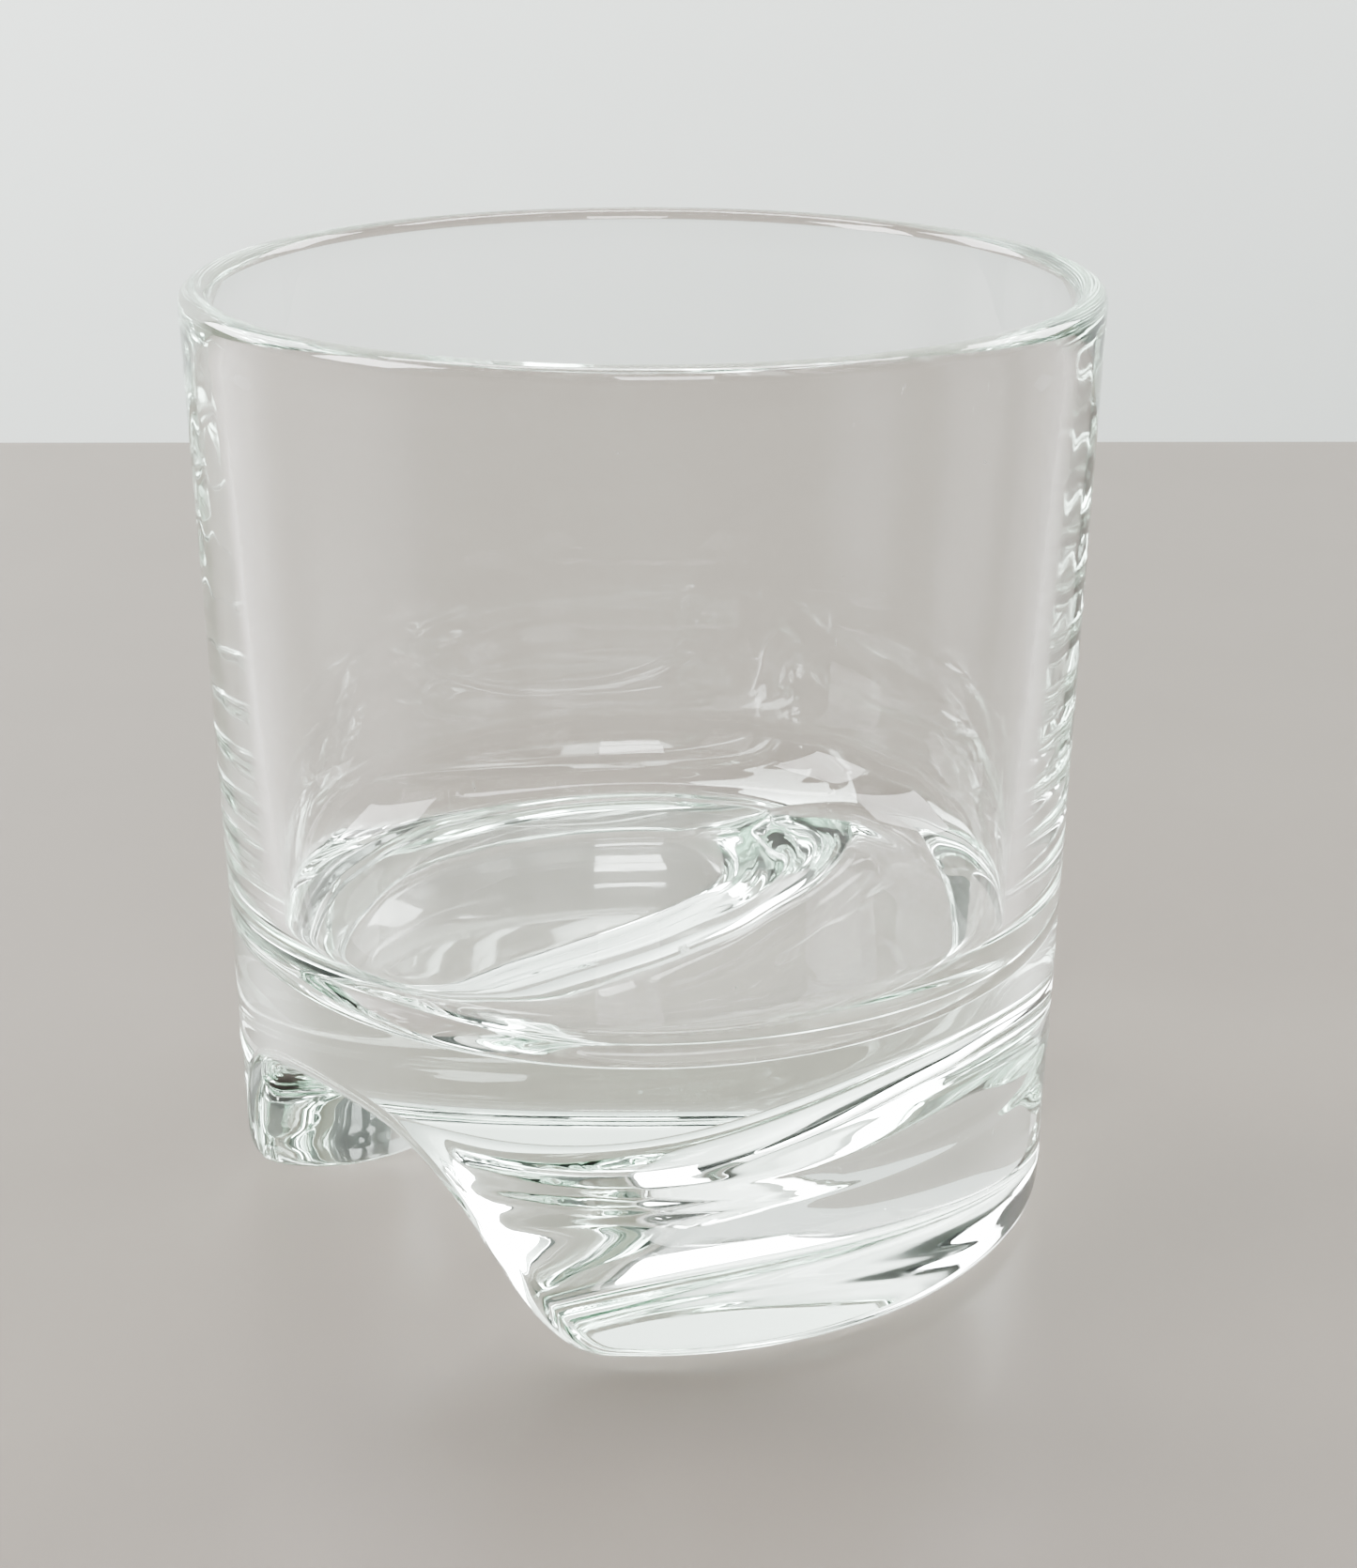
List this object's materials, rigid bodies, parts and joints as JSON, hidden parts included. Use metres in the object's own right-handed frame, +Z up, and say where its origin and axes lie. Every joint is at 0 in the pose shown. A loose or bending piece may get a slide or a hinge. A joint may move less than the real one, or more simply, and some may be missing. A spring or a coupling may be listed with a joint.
{
  "type": "whiskey tumbler",
  "caption": "Low clear glass tumbler with a fully rounded lip, a slightly flared wall and a deep solid base that an arched, slightly S-shaped channel cuts right across underneath, leaving two flat soles.",
  "frame": {"origin": "centre of the resting plane, on the axis of the bowl", "axes": "+Z up out of the mouth; -Y faces the picture's viewer; the mouths of the channel underneath lie 43 degrees from +X towards +Y, and opposite"},
  "size_m": [0.084, 0.084, 0.09],
  "materials": {
    "clear_glass": "clear pressed soda-lime glass, fire-polished"
  },
  "bodies": {
    "root": {"lip": "clear_glass", "bowl_wall": "clear_glass", "base": "clear_glass", "front_foot": "clear_glass", "rear_foot": "clear_glass"}
  },
  "joints": []
}
